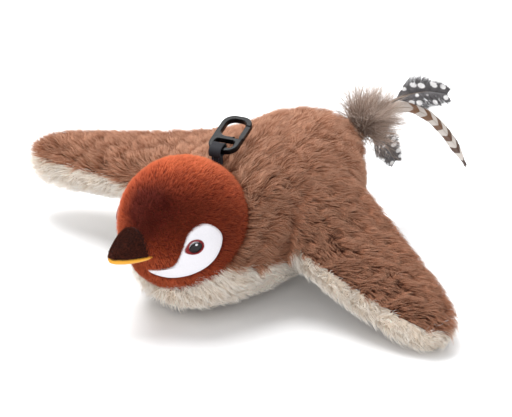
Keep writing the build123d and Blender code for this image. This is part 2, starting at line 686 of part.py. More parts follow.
# Beak: (distance in front of the head's middle, half width, half height) of each section
UPPER_BEAK = ((22, 9.5, 12.3), (29, 8.4, 11.8), (34, 6.4, 9.8), (39, 3.6, 5.6), (42, 1.2, 1.8))
LOWER_BEAK = ((22, 9, 3.4), (33, 6.8, 3.2), (39, 3.4, 2.6), (42, 1.2, 1.8))
MOUTH_Z = -5.2


def beak_body(sections, upper):
    outlines = []
    for reach, half_width, half_height in sections:
        centre = head_plane.from_local_coords((0, -reach, MOUTH_Z))
        forward = head_plane.from_local_coords((0, -1, 0)) - head_plane.origin
        with BuildSketch(Plane(origin=centre, x_dir=head_plane.x_dir, z_dir=forward)) as outline:
            Ellipse(half_width, half_height)
        outlines.append(outline.sketch)
    loft(outlines)
    mouth = head_plane.origin.Z + MOUTH_Z
    away = (mouth - 40, mouth) if upper else (mouth, mouth + 40)
    block((-60, 60), (-160, 60), away, Mode.SUBTRACT)
    with Locations((0, HEAD_Y, HEAD_Z)):
        Sphere(HEAD_R + PATCH_T + 0.1, mode=Mode.SUBTRACT)


with BuildPart() as upper_beak:
    beak_body(UPPER_BEAK, True)
save(upper_beak, "upper_beak")

with BuildPart() as lower_beak:
    beak_body(LOWER_BEAK, False)
save(lower_beak, "lower_beak")

# ---------------------------------------------------------------- snap clip and ribbon
yaw, rise = radians(CLIP_YAW), radians(CLIP_RISE)
clip_across = Vector(cos(yaw), sin(yaw), 0)
clip_along = Vector(-sin(yaw) * cos(rise), cos(yaw) * cos(rise), sin(rise))
clip_normal = clip_across.cross(clip_along)
clip_plane = Plane(origin=CLIP_AT, x_dir=clip_across, z_dir=clip_normal)
BAR_MID = CLIP_BAR / 2
D_START = 2 * CLIP_BAR + SLOT_L
GATE_W, GATE_GAP = 2.2, 0.3
GATE_X = CLIP_W / 2 - GATE_W / 2
GATE_PIVOT_Y = D_START + 0.8
GATE_END_Y = CLIP_L - 5.6
POCKET_Y = (GATE_PIVOT_Y - GATE_W / 2 - GATE_GAP, GATE_END_Y)
GATE_SWING_ROOM = 1.9
POCKET_X = (GATE_X - GATE_W / 2 - GATE_SWING_ROOM, CLIP_W)
OPENING_HALF = CLIP_W / 2 - CLIP_BAR

with BuildPart() as clip_frame:
    with BuildSketch(clip_plane):
        with Locations((0, CLIP_L / 2)):
            RectangleRounded(CLIP_W, CLIP_L, 5.4)
        with Locations((0, CLIP_BAR + SLOT_L / 2)):
            RectangleRounded(2 * OPENING_HALF, SLOT_L, 1.6, mode=Mode.SUBTRACT)
        with Locations((0, (D_START + CLIP_L - CLIP_BAR) / 2)):
            RectangleRounded(2 * OPENING_HALF, CLIP_L - CLIP_BAR - D_START, 3.6, mode=Mode.SUBTRACT)
        with Locations((mid(POCKET_X), mid(POCKET_Y))):
            Rectangle(size(POCKET_X), size(POCKET_Y), mode=Mode.SUBTRACT)
    extrude(amount=CLIP_T / 2, both=True)
    edges = clip_frame.faces().filter_by(Plane(origin=(0, 0, 0), z_dir=clip_normal)).edges()
    fillet(edges, 0.45)
save(clip_frame, "clip_frame")

with BuildPart() as clip_gate:
    with BuildSketch(clip_plane):
        with Locations((GATE_X, mid((GATE_PIVOT_Y, GATE_END_Y - GATE_GAP)))):
            Rectangle(GATE_W, GATE_END_Y - GATE_GAP - GATE_PIVOT_Y)
        with Locations((GATE_X, GATE_PIVOT_Y)):
            Circle(GATE_W / 2)
    extrude(amount=CLIP_T / 2 - 0.3, both=True)
save(clip_gate, "clip_gate")

RIBBON_W, RIBBON_T, RIBBON_X = 5.4, 0.7, -1.4
LOOP_L, LOOP_ROOM = CLIP_BAR + SLOT_L, CLIP_T + 1
RIBBON_STEM_AT, RIBBON_STEM_H = (-2, -49.4, 60.9), 7.6
with BuildPart() as neck_ribbon:
    loop_middle = clip_plane.from_local_coords((RIBBON_X, 0, 0))
    with BuildSketch(Plane(origin=loop_middle, x_dir=clip_along, z_dir=clip_across)):
        with Locations((BAR_MID, 0)):
            SlotOverall(LOOP_L, LOOP_ROOM + 2 * RIBBON_T)
            SlotOverall(LOOP_L - 2 * RIBBON_T, LOOP_ROOM, mode=Mode.SUBTRACT)
    extrude(amount=RIBBON_W / 2, both=True)
    with Locations(RIBBON_STEM_AT):
        Box(RIBBON_W, 2 * RIBBON_T, RIBBON_STEM_H)
    with Locations((0, HEAD_Y, HEAD_Z)):
        Sphere(HEAD_R + RUN_GAP, mode=Mode.SUBTRACT)
save(neck_ribbon, "neck_ribbon")

# ---------------------------------------------------------------- tail
FEATHER_T = 1.2
# Spine of the long feather: (distance out, height) from its root
BARRED_SPINE = ((0, 0), (11, 4), (28, 2), (45, -13), (58, -30), (65, -39.5))


def feather_strip(root, heading, roll, points, width):
    """A curved vane: its spine is drawn in the upright plane of its heading, then rolled."""
    turn, lean = radians(heading), radians(roll)
    along = Vector(sin(turn), cos(turn), 0)
    level = Vector(cos(turn), -sin(turn), 0)
    across = level * cos(lean) + Vector(0, 0, 1) * sin(lean)
    with BuildSketch(Plane(origin=root, x_dir=along, z_dir=level)) as vane:
        with BuildLine():
            top = Spline(*points)
            low = Spline(*[(x, y - FEATHER_T) for x, y in points])
            Line(top @ 0, low @ 0)
            Line(top @ 1, low @ 1)
        make_face()
    extrude(vane.sketch, amount=width / 2, dir=across, both=True)


with BuildPart() as tail_binding:
    with BuildSketch(Plane(origin=TAIL_ROOT, z_dir=(0, 0.9, 0.45))):
        Circle(3.4)
    extrude(amount=9, taper=8)
save(tail_binding, "tail_binding")

with BuildPart() as barred_feather:
    feather_strip((0.5, 50.5, 50), 10.8, 25, BARRED_SPINE, 5)
save(barred_feather, "barred_feather")

with BuildPart() as spotted_feather_upper:
    feather_strip((2.5, 52, 58), 26, 50, ((0, 0), (20, 4), (40, 1)), 13)
save(spotted_feather_upper, "spotted_feather_upper")

with BuildPart() as spotted_feather_lower:
    feather_strip((-3, 53, 41.5), -4, 50, ((0, 0), (9, -3), (18, -15)), 13)
save(spotted_feather_lower, "spotted_feather_lower")

with BuildPart() as downy_plume:
    with Locations((-1, 50, 57)):
        Sphere(11)
    for neighbour in (tail_binding, barred_feather, spotted_feather_upper, spotted_feather_lower):
        add(neighbour.part, mode=Mode.SUBTRACT)
save(downy_plume, "downy_plume")
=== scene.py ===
"""Dresses the flapping plush bird's CAD frame: pile, feathers, clip and a pale studio. Metres."""

import json
from math import cos, pi, radians, sin

import bpy
import numpy as np
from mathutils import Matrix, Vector


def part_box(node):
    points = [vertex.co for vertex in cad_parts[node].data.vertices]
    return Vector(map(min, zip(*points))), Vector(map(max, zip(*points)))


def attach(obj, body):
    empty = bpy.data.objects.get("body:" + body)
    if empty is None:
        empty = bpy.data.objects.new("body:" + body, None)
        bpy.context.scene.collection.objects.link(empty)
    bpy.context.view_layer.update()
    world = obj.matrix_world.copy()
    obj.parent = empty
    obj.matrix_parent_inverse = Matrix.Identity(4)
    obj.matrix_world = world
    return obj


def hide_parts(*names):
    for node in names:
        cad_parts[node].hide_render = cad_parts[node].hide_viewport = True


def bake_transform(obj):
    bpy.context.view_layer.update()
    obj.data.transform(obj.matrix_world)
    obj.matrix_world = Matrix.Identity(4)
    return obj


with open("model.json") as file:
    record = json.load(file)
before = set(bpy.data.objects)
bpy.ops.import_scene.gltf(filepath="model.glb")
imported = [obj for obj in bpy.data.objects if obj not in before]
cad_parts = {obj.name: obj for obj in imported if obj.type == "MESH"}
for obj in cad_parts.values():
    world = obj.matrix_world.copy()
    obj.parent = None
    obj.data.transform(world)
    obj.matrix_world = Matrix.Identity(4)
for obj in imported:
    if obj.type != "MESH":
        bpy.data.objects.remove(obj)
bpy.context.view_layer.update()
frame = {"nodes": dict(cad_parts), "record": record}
MM = 0.001
BODY = "bird_body"
rng = np.random.default_rng(11)
DENSITY = 1.0


# ---------------------------------------------------------------- camera, lights and floor
CAMERA_AZIMUTH, CAMERA_ELEVATION = radians(42), radians(23.7)
CAMERA_DISTANCE, CAMERA_LENS, CAMERA_SENSOR = 2.4, 381.7, 36
AIM = Vector((-0.0035, -0.0225, 0.030))
FLOOR_SIZE, FLOOR_Z = 8, -0.0002
WORLD_STRENGTH = 0.7
# Disk lights: (name, diameter, power, place)
LIGHTS = (
    ("overhead", 0.8, 12.0, (-0.35, 0.05, 1.0)),
    ("front_fill", 0.8, 3.2, (0.7, -0.8, 0.5)),
    ("rear_rim", 0.6, 5.0, (-0.5, 0.9, 0.6)),
)


def build_studio():
    back = Vector((
        sin(CAMERA_AZIMUTH) * cos(CAMERA_ELEVATION),
        -cos(CAMERA_AZIMUTH) * cos(CAMERA_ELEVATION),
        sin(CAMERA_ELEVATION),
    ))
    camera = bpy.data.objects.new("camera", bpy.data.cameras.new("camera"))
    bpy.context.collection.objects.link(camera)
    camera.data.lens = CAMERA_LENS
    camera.data.sensor_width = CAMERA_SENSOR
    camera.location = AIM + back * CAMERA_DISTANCE
    camera.rotation_mode = "QUATERNION"
    camera.rotation_quaternion = (-back).to_track_quat("-Z", "Y")
    camera.data.clip_start, camera.data.clip_end = 0.05, 20
    bpy.context.scene.camera = camera

    bpy.ops.mesh.primitive_plane_add(size=FLOOR_SIZE, location=(0, 0, FLOOR_Z))
    floor = bpy.context.object
    floor.name = "floor"
    paper = bpy.data.materials.new("studio_floor")
    paper.use_nodes = True
    paper.node_tree.nodes["Principled BSDF"].inputs["Base Color"].default_value = (0.93, 0.935, 0.945, 1)
    paper.node_tree.nodes["Principled BSDF"].inputs["Roughness"].default_value = 0.9
    floor.data.materials.append(paper)

    world = bpy.data.worlds.new("studio")
    world.use_nodes = True
    world.node_tree.nodes["Background"].inputs["Color"].default_value = (1.0, 1.0, 1.0, 1)
    world.node_tree.nodes["Background"].inputs["Strength"].default_value = WORLD_STRENGTH
    bpy.context.scene.world = world
    for name, size, power, place in LIGHTS:
        light = bpy.data.objects.new(name, bpy.data.lights.new(name, "AREA"))
        light.data.shape = "DISK"
        light.data.size = size
        light.data.energy = power
        light.location = place
        light.rotation_mode = "QUATERNION"
        light.rotation_quaternion = (AIM - Vector(place)).to_track_quat("-Z", "Y")
        bpy.context.collection.objects.link(light)
    bpy.context.scene.view_settings.view_transform = "Standard"


# ---------------------------------------------------------------- node helpers
class Graph:
    """A material's node tree with short calls for the nodes used here."""

    def __init__(self, name, roughness=0.6, **constants):
        self.material = bpy.data.materials.new(name)
        self.material.use_nodes = True
        self.tree = self.material.node_tree
        self.shader = self.tree.nodes["Principled BSDF"]
        self.shader.inputs["Roughness"].default_value = roughness
        for socket, value in constants.items():
            self.shader.inputs[socket.replace("_", " ")].default_value = value

    def node(self, kind, **settings):
        made = self.tree.nodes.new(kind)
        for key, value in settings.items():
            setattr(made, key, value)
        return made

    def link(self, output, socket):
        self.tree.links.new(output, socket)

    def attribute(self, name):
        return self.node("ShaderNodeAttribute", attribute_name=name)

    def position(self):
        return self.node("ShaderNodeTexCoord").outputs["Object"]

    def noise(self, scale, detail=3.0, source=None):
        made = self.node("ShaderNodeTexNoise")
        made.inputs["Scale"].default_value = scale
        made.inputs["Detail"].default_value = detail
        self.link(source or self.position(), made.inputs["Vector"])
        return made.outputs["Fac"]

    def ramp(self, factor, stops):
        made = self.node("ShaderNodeValToRGB")
        elements = made.color_ramp.elements
        while len(elements) < len(stops):
            elements.new(0.5)
        for element, (place, colour) in zip(elements, stops):
            element.position = place
            element.color = (*colour, 1)
        self.link(factor, made.inputs["Fac"])
        return made.outputs["Color"]

    def mix(self, factor, a, b, mode="MIX"):
        made = self.node("ShaderNodeMix", data_type="RGBA", blend_type=mode)
        for value, socket in ((factor, made.inputs[0]), (a, made.inputs[6]), (b, made.inputs[7])):
            if isinstance(value, (int, float)):
                socket.default_value = value
            elif isinstance(value, tuple):
                socket.default_value = (*value, 1)
            else:
                self.link(value, socket)
        return made.outputs[2]

    def maths(self, operation, a, b=0.0):
        made = self.node("ShaderNodeMath", operation=operation)
        for value, socket in ((a, made.inputs[0]), (b, made.inputs[1])):
            if isinstance(value, (int, float)):
                socket.default_value = value
            else:
                self.link(value, socket)
        return made.outputs[0]

    def colour(self, output):
        self.link(output, self.shader.inputs["Base Color"])

    def bump(self, height, strength=0.4, distance=0.0004):
        made = self.node("ShaderNodeBump")
        made.inputs["Strength"].default_value = strength
        made.inputs["Distance"].default_value = distance
        self.link(height, made.inputs["Height"])
        self.link(made.outputs["Normal"], self.shader.inputs["Normal"])


def linear(*colour):
    """A linear colour from 0 to 255 screen values."""
    return tuple((c / 255 / 12.92) if c <= 10 else (((c / 255) + 0.055) / 1.055) ** 2.4 for c in colour)


def pile_material(name, root, middle, tip, patchy=0.3, roughness=0.85, sheen=0.25, darkest=0.72):
    """Fibre colour from root to tip, varied from tuft to tuft."""
    graph = Graph(name, roughness, Sheen_Weight=sheen, Sheen_Roughness=0.5, Specular_IOR_Level=0.25)
    graph.shader.inputs["Sheen Tint"].default_value = (*tip, 1)
    # Darker roots: partly the fibres' own colour, partly painted shade deep in the pile between the fibres.
    along = graph.ramp(graph.attribute("tip").outputs["Fac"], ((0, root), (0.5, middle), (1, tip)))
    tone = graph.attribute("tone").outputs["Fac"]
    deep = (darkest, darkest * 0.96, darkest * 0.93)
    shade = graph.ramp(tone, ((0, deep), (0.5, (0.97, 0.96, 0.95)), (1, (1.2, 1.19, 1.18))))
    varied = graph.mix(1.0, along, shade, "MULTIPLY")
    cloud = graph.ramp(graph.noise(90, 2), ((0.3, (0.8, 0.78, 0.76)), (0.7, (1.12, 1.12, 1.12))))
    graph.colour(graph.mix(patchy, varied, graph.mix(1.0, varied, cloud, "MULTIPLY")))
    return graph.material


def fabric_material(name, base, dark, scale=1800, roughness=0.9, sheen=0.2):
    """Backing cloth or felt: a fine mottle and a soft fibrous bump."""
    graph = Graph(name, roughness, Sheen_Weight=sheen, Specular_IOR_Level=0.2)
    graph.colour(graph.mix(graph.noise(scale, 4), dark, base))
    graph.bump(graph.noise(scale * 1.5, 6), 0.5, 0.0003)
    return graph.material


# ---------------------------------------------------------------- mesh helpers
def new_piece(name, verts, faces, material, body):
    mesh = bpy.data.meshes.new(name)
    mesh.from_pydata([tuple(v) for v in verts], [], faces)
    mesh.update()
    piece = bpy.data.objects.new(name, mesh)
    bpy.context.collection.objects.link(piece)
    mesh.materials.append(material)
    mesh.shade_smooth()
    if body:
        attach(piece, body)
    return piece


def unit(v):
    return v / np.maximum(np.linalg.norm(v, axis=-1, keepdims=True), 1e-9)


def strands(name, points, radius, material, tone, extra, body):
    """Closed three-sided tapered fibres. points is N x S x 3 and radius is N x S.
    """
    count, steps = points.shape[:2]
    heading = unit(points[:, 1] - points[:, 0])
    guide = np.where(np.abs(heading[:, 2:3]) > 0.9, np.array([[1.0, 0, 0]]), np.array([[0, 0, 1.0]]))
    e1 = unit(np.cross(heading, guide))
    e2 = np.cross(heading, e1)
    per = 3 * (steps - 1) + 1
    verts = np.zeros((count, per, 3))
    tip = np.zeros((count, per))
    corner_u = np.zeros(per)
    for step in range(steps - 1):
        for side in range(3):
            angle = 2 * pi * side / 3
            offset = (e1 * cos(angle) + e2 * sin(angle)) * radius[:, step : step + 1]
            verts[:, 3 * step + side] = points[:, step] + offset
            tip[:, 3 * step + side] = step / (steps - 1)
            corner_u[3 * step + side] = 0.2 + 0.3 * side
    verts[:, -1] = points[:, -1]
    tip[:, -1] = 1
    corner_u[-1] = 0.5
    faces = [(2, 1, 0)]
    for step in range(steps - 2):
        low, high = 3 * step, 3 * step + 3
        faces += [(low + a, low + b, high + b, high + a) for a, b in ((0, 1), (1, 2), (2, 0))]
    low = 3 * (steps - 2)
    faces += [(low + a, low + b, per - 1) for a, b in ((0, 1), (1, 2), (2, 0))]

    loops = np.concatenate([np.array(face) for face in faces])
    sizes = np.array([len(face) for face in faces])
    starts = np.concatenate([[0], np.cumsum(sizes)[:-1]])
    all_loops = (loops[None, :] + per * np.arange(count)[:, None]).ravel()
    all_starts = (starts[None, :] + len(loops) * np.arange(count)[:, None]).ravel()

    mesh = bpy.data.meshes.new(name)
    mesh.vertices.add(count * per)
    mesh.vertices.foreach_set("co", verts.astype(np.float32).ravel())
    mesh.loops.add(len(all_loops))
    mesh.loops.foreach_set("vertex_index", all_loops.astype(np.int32))
    mesh.polygons.add(len(all_starts))
    mesh.polygons.foreach_set("loop_start", all_starts.astype(np.int32))
    mesh.update(calc_edges=True)
    mesh.validate()

    def store(label, values):
        layer = mesh.attributes.new(label, "FLOAT", "POINT")
        layer.data.foreach_set("value", values.astype(np.float32).ravel())

    store("tip", tip)
    tone = rng.random(count) if tone is None else tone
    store("tone", np.repeat(tone[:, None], per, axis=1))
    if extra:
        for label, values in extra.items():
            spread = np.zeros((count, per))
            for step in range(steps - 1):
                spread[:, 3 * step : 3 * step + 3] = values[:, step : step + 1]
            spread[:, -1] = values[:, -1]
            store(label, spread)

    grid = int(np.ceil(np.sqrt(count)))
    cells = np.arange(count)
    u = ((cells % grid)[:, None] + corner_u[None, :]) / grid
    v = ((cells // grid)[:, None] + 0.1 + 0.8 * tip) / grid
    uv = np.stack([u.ravel(), v.ravel()], -1)[all_loops]
    layer = mesh.uv_layers.new(name="OFBake")
    layer.uv.foreach_set("vector", uv.astype(np.float32).ravel())

    mesh.materials.append(material)
    mesh.shade_smooth()
    piece = bpy.data.objects.new(name, mesh)
    bpy.context.collection.objects.link(piece)
    if body:
        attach(piece, body)
    return piece


def waves(points, scale, seed, terms=7):
    """Smooth three-component noise made of sine waves about scale metres long."""
    draw = np.random.default_rng(seed)
    total = np.zeros_like(points)
    for _ in range(terms):
        direction = unit(draw.normal(size=3)) * (2 * pi / scale) * draw.uniform(0.6, 1.6)
        phase = draw.uniform(0, 2 * pi, size=3)
        total += np.sin((points @ direction)[:, None] + phase)
    return total / np.sqrt(terms)


class Skin:
    """A triangulated surface that pile grows from."""

    def __init__(self, mesh):
        mesh.calc_loop_triangles()
        self.verts = np.empty(len(mesh.vertices) * 3)
        mesh.vertices.foreach_get("co", self.verts)
        self.verts = self.verts.reshape(-1, 3)
        self.normals = np.empty(len(mesh.vertices) * 3)
        mesh.vertex_normals.foreach_get("vector", self.normals)
        self.normals = self.normals.reshape(-1, 3)
        self.tris = np.empty(len(mesh.loop_triangles) * 3, dtype=np.int32)
        mesh.loop_triangles.foreach_get("vertices", self.tris)
        self.tris = self.tris.reshape(-1, 3)

    def centres(self):
        return self.verts[self.tris].mean(axis=1)

    def scatter(self, keep, per_mm2):
        """Random points with normals on the kept triangles."""
        tris = self.tris[keep]
        a, b, c = (self.verts[tris[:, i]] for i in range(3))
        area = np.linalg.norm(np.cross(b - a, c - a), axis=1) / 2
        count = int(area.sum() / MM**2 * per_mm2 * DENSITY)
        pick = rng.choice(len(tris), size=count, p=area / area.sum())
        w = rng.random((count, 2))
        w = np.where(w.sum(axis=1, keepdims=True) > 1, 1 - w, w)
        w = np.column_stack([1 - w.sum(axis=1), w])
        corners = tris[pick]
        points = (self.verts[corners] * w[:, :, None]).sum(axis=1)
        normals = unit((self.normals[corners] * w[:, :, None]).sum(axis=1))
        return points, normals

    def piece(self, name, keep, material, body, slot):
        used, index = np.unique(self.tris[keep], return_inverse=True)
        return new_piece(name, self.verts[used], index.reshape(-1, 3).tolist(), material, body)


PILE_R = 0.00012
PILE_LENGTH = {"brown": 0.0090, "cream": 0.0072}
CELL_PRIMES = np.array([73856093, 19349663, 83492791])


def grow(name, roots, normals, flow, length, lift, material, body,
         radius=PILE_R, clump=0.2, clump_size=0.0026, wander=0.5, floor=0.0004, painted_light=None, straight=False):
    """Pile: every fibre leaves along its normal, then lies over along the flow, in loose tufts."""
    count = len(roots)
    flow = flow + waves(roots, 0.011, 3) * wander + waves(roots, 0.004, 5) * wander * 0.5
    flow = flow + rng.normal(size=roots.shape) * 0.12
    flow = unit(flow - normals * (flow * normals).sum(axis=1, keepdims=True))
    length = length * rng.uniform(0.78, 1.12, count)
    rise = np.clip(lift + 0.12 * waves(roots, 0.008, 9)[:, 0] + rng.normal(size=count) * 0.05, 0.1, 0.95)
    first = unit(normals * (rise + 0.25)[:, None] + flow * (1 - rise)[:, None])
    second = unit(normals * (rise * 0.55)[:, None] + flow)
    middle = roots + first * (length * 0.5)[:, None]
    tips = middle + second * (length * 0.5)[:, None]
    cell = np.round((roots + waves(roots, 0.006, 13) * 0.0008) / clump_size).astype(np.int64)
    key = cell @ CELL_PRIMES
    _, group = np.unique(key, return_inverse=True)
    members = np.bincount(group).astype(float)
    mean = np.column_stack([np.bincount(group, tips[:, i]) / members for i in range(3)])
    tips = tips + (mean[group] - tips) * clump
    tuft_tone = rng.random(len(members))[group]
    drift = 0.10 * waves(roots, 0.02, 17)[:, 0]
    tone = np.clip(0.45 * tuft_tone + 0.35 * rng.random(count) + drift + 0.1, 0, 1)
    for points in (middle, tips):
        points[:, 2] = np.maximum(points[:, 2], floor)
    lines = np.stack([roots, tips] if straight else [roots, middle, tips], axis=1)
    thick = np.tile(np.array([1.0, 0.0] if straight else [1.0, 0.8, 0.0]), (count, 1)) * radius
    # On the head this optional per-fibre attribute carries painted light: painted shade and painted sheen.
    extra = {"painted_light": np.tile(painted_light[:, None], (1, lines.shape[1]))} if painted_light is not None else None
    return strands(name, lines, thick, material, tone, extra, body)


# ---------------------------------------------------------------- body skin
# Torso sections: (y, middle x, half width, lowest z, highest z), millimetres, under the pile
TORSO = np.array([
    (-87, 0, 8, 14, 26),
    (-83, 0, 19, 6, 34),
    (-69, 0, 28, 3.5, 47),
    (-44, 0, 32, 2.5, 59),
    (-14, -1, 32, 2.5, 63),
    (11, -3.5, 28, 4, 61.5),
    (25, -7, 19, 9, 57),
    (34, -6, 12, 14, 52),
    (38, -4, 4, 24, 42),
], float)
# Wing sections: (distance from the hinge, front y, rear y, thickness, lift of the middle), millimetres
WING = {
    "left": np.array([
        (2, -40, 4, 34, 3),
        (14, -42, 7, 26, 2),
        (26, -43, 6, 20, 0),
        (40, -44, 1, 18, -1),
        (62, -44.5, -8, 18, -1.5),
        (82, -43.5, -15, 17, -2.5),
        (93, -41, -22, 14, -3.5),
        (99, -38, -28, 6, -3),
    ], float),
    "right": np.array([
        (2, -40, 20, 36, 4),
        (14, -42, 21, 30, 3),
        (26, -43, 18, 24, 2),
        (40, -44, 10, 20, 1),
        (62, -44.5, -3, 18, 0),
        (82, -46, -15, 18, -1),
        (98, -45, -24, 16, -2),
        (105, -41, -31, 7, -2),
    ], float),
}
HINGE_X, HINGE_Z = 17.0, 33.0
DROOP = {"left": 14.0, "right": 3.0}


def stations(table, count):
    """Smoothed rows between a table's rows, by its first column and closer together at both ends."""
    start, stop = table[0, 0], table[-1, 0]
    wanted = start + (stop - start) * 0.5 * (1 - np.cos(np.linspace(0, pi, count)))
    rows = np.column_stack([np.interp(wanted, table[:, 0], table[:, i]) for i in range(table.shape[1])])
    for _ in range(2):
        rows[1:-1, 1:] = (rows[:-2, 1:] + 2 * rows[1:-1, 1:] + rows[2:, 1:]) / 4
    return rows


def superellipse(half_a, half_b, power, count=56):
    angle = np.linspace(0, 2 * pi, count, endpoint=False)
    c, s = np.cos(angle), np.sin(angle)
    return (
        half_a * np.sign(c) * np.abs(c) ** (2 / power),
        half_b * np.sign(s) * np.abs(s) ** (2 / power),
    )


def ring_quads(layers, around):
    """Faces between neighbouring rings of a stack."""
    faces = []
    for i in range(layers - 1):
        for j in range(around):
            k = (j + 1) % around
            faces.append((i * around + j, i * around + k, (i + 1) * around + k, (i + 1) * around + j))
    return faces


def tube(rings):
    """Closed mesh data through a stack of rings."""
    rings = np.array(rings)
    layers, around = rings.shape[:2]
    verts = rings.reshape(-1, 3)
    faces = ring_quads(layers, around)
    faces.append(tuple(range(around))[::-1])
    faces.append(tuple(range((layers - 1) * around, layers * around)))
    return verts, faces


def torso_tube():
    rings = []
    for y, middle, half, low, high in stations(TORSO, 40):
        a, b = superellipse(half, (high - low) / 2, 2.15)
        rings.append(np.column_stack([a + middle, np.full_like(a, y), b + (low + high) / 2]))
    return tube(rings)


def wing_tube(side, droop):
    sign = 1 if side == "left" else -1
    lean = radians(droop)
    rings = []
    for r, front, rear, thick, lift in stations(WING[side], 36):
        a, b = superellipse((rear - front) / 2, thick / 2, 2.3)
        y = a + (front + rear) / 2
        out = r * cos(lean) + (b + lift) * sin(lean)
        up = -r * sin(lean) + (b + lift) * cos(lean)
        rings.append(np.column_stack([sign * (HINGE_X + out), y, HINGE_Z + up]))
    return tube(rings)


def fused(name, tubes, voxel, smoothing):
    """One smooth skin round several overlapping tubes."""
    verts, faces, base = [], [], 0
    for part_verts, part_faces in tubes:
        verts.append(part_verts * MM)
        faces += [tuple(i + base for i in face) for face in part_faces]
        base += len(part_verts)
    mesh = bpy.data.meshes.new(name)
    mesh.from_pydata(np.concatenate(verts).tolist(), [], faces)
    blank = bpy.data.objects.new(name, mesh)
    bpy.context.collection.objects.link(blank)
    remesh = blank.modifiers.new("skin", "REMESH")
    remesh.mode = "VOXEL"
    remesh.voxel_size = voxel
    smooth = blank.modifiers.new("ease", "SMOOTH")
    smooth.factor = 0.5
    smooth.iterations = smoothing
    bpy.context.view_layer.update()
    done = bpy.data.meshes.new_from_object(blank.evaluated_get(bpy.context.evaluated_depsgraph_get()))
    bpy.data.objects.remove(blank)
    return done


def wing_height(x):
    """The level of a wing's middle at a distance from the spine, in millimetres."""
    lean = np.where(x > 0, radians(DROOP["left"]), radians(DROOP["right"]))
    return HINGE_Z - np.maximum(np.abs(x) - HINGE_X, 0) * np.tan(lean)


def colour_line(points):
    """How far above the brown and cream seam each point is, in millimetres."""
    x, y, z = (points / MM).T
    wing = wing_height(x) - 1.0 + 3.2 * np.clip((-28 - y) / 16, 0, 1)
    torso = np.interp(y, [-86, -60, -40, 30, 45], [30, 25, 22, 21, 24])
    share = np.clip((np.abs(x) - 29) / 9, 0, 1)
    return z - (torso * (1 - share) + wing * share)


def body_flow(points):
    """Which way the pile lies: back along the body, outwards and back on the wings."""
    x, y, z = (points / MM).T
    out = np.clip((np.abs(x) - 18) / 26, 0, 1)
    return unit(np.column_stack([
        np.sign(x) * (0.15 + 1.0 * out),
        1.0 - 0.62 * out,
        -0.25 - 0.15 * out,
    ]))


HEAD = np.array([0, -73, 40.6]) * MM
HEAD_R = 29.5 * MM
FLAP_X, FLAP_Y, FLAP_Z = 17.6 * MM, (-43.6 * MM, 4.4 * MM), 9 * MM

BROWN = pile_material(
    "brown_pile", linear(104, 58, 38), linear(164, 108, 80), linear(212, 166, 138), darkest=0.7,
)
CREAM = pile_material(
    "cream_pile", linear(250, 234, 216), linear(255, 246, 234), linear(255, 253, 248),
    patchy=0.1, sheen=0.5, darkest=0.93,
)
BROWN_BACKING = fabric_material("brown_backing", linear(112, 66, 44), linear(80, 44, 28))
CREAM_BACKING = fabric_material("cream_backing", linear(246, 232, 214), linear(232, 216, 198))


def build_body():
    mesh = fused(
        "body_skin",
        [torso_tube()] + [wing_tube(side, droop) for side, droop in DROOP.items()],
        0.0016,
        14,
    )
    skin = Skin(mesh)
    centre = skin.centres()
    inside_head = np.linalg.norm(centre - HEAD, axis=1) < HEAD_R - 3.5 * MM
    above = colour_line(centre) > 0
    flap = (np.abs(centre[:, 0]) < FLAP_X) & (centre[:, 1] > FLAP_Y[0]) & (centre[:, 1] < FLAP_Y[1])
    flap &= centre[:, 2] < FLAP_Z
    for side, sign, body in (("left", 1, "left_wing"), ("right", -1, "right_wing")):
        half = centre[:, 0] * sign > 0
        for colour, chosen, backing, fur, density, nodes in (
            ("brown", above, BROWN_BACKING, BROWN, 3.4, (f"{side}_wing_top_plush", "back_plush")),
            ("cream", ~above & ~flap, CREAM_BACKING, CREAM, 1.9, (f"{side}_wing_under_plush", "belly_plush")),
        ):
            keep = half & chosen & ~inside_head
            slot = f"{colour}_plush"
            cloth = skin.piece(f"{side}_{colour}_skin", keep, backing, None, slot)
            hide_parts(*nodes)
            roots, normals = skin.scatter(keep, density)
            wingward = np.abs(roots[:, 0]) > 0.038
            lengths = PILE_LENGTH[colour] * np.where(wingward, 0.95, 1.0)
            under = normals[:, 2] < -0.6
            lengths = np.where(under & (roots[:, 2] < 0.01), 0.004, lengths)
            pieces = [cloth]
            flow = body_flow(roots)
            spans = (("root", ~wingward), ("wing", wingward))
            for label, part in spans:
                pieces.append(grow(
                    f"{side}_{colour}_{label}_pile", roots[part], normals[part], flow[part],
                    lengths[part], 0.6, fur, None,
                ))
            for piece in pieces:
                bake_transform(piece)
    keep = flap & ~above
    cloth = skin.piece("belly_flap_skin", keep, CREAM_BACKING, "flap_body", "cream_plush")
    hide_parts("belly_flap")
    roots, normals = skin.scatter(keep, 2.0)
    grow("belly_flap_pile", roots, normals, body_flow(roots), np.full(len(roots), 0.0035), 0.3,
         CREAM, "flap_body")


# ---------------------------------------------------------------- head
HEAD_YAW = radians(-7)
HEAD_X = np.array([cos(HEAD_YAW), sin(HEAD_YAW), 0])
HEAD_BACK = np.array([-sin(HEAD_YAW), cos(HEAD_YAW), 0])
UP = np.array([0, 0, 1.0])
PATCH_AZIMUTH = radians(56)
PATCH_OUTLINE = np.array([
    (-18, -13.3), (-8, -8.5), (-4, 0), (-1.2, 7.3), (5, 10.8),
    (11, 8.3), (13.9, 2.5), (10, -6.5), (1, -12.6), (-10, -15.4),
]) * MM
PATCH_MIDDLE = np.array([2, -5]) * MM
# Rings of an eye patch from its edge inwards: (share of the outline, share of the height)
PATCH_RINGS = (
    (1.0, 0.1), (0.985, 0.55), (0.95, 0.8), (0.85, 0.95),
    (0.7, 1.0), (0.5, 1.0), (0.3, 1.0), (0.12, 1.0),
)
EYE_AT = np.array([1.6, 1.6]) * MM


def to_head(local):
    """Head coordinates (left, back, up) to the frame."""
    return HEAD + local[..., :1] * HEAD_X + local[..., 1:2] * HEAD_BACK + local[..., 2:3] * UP


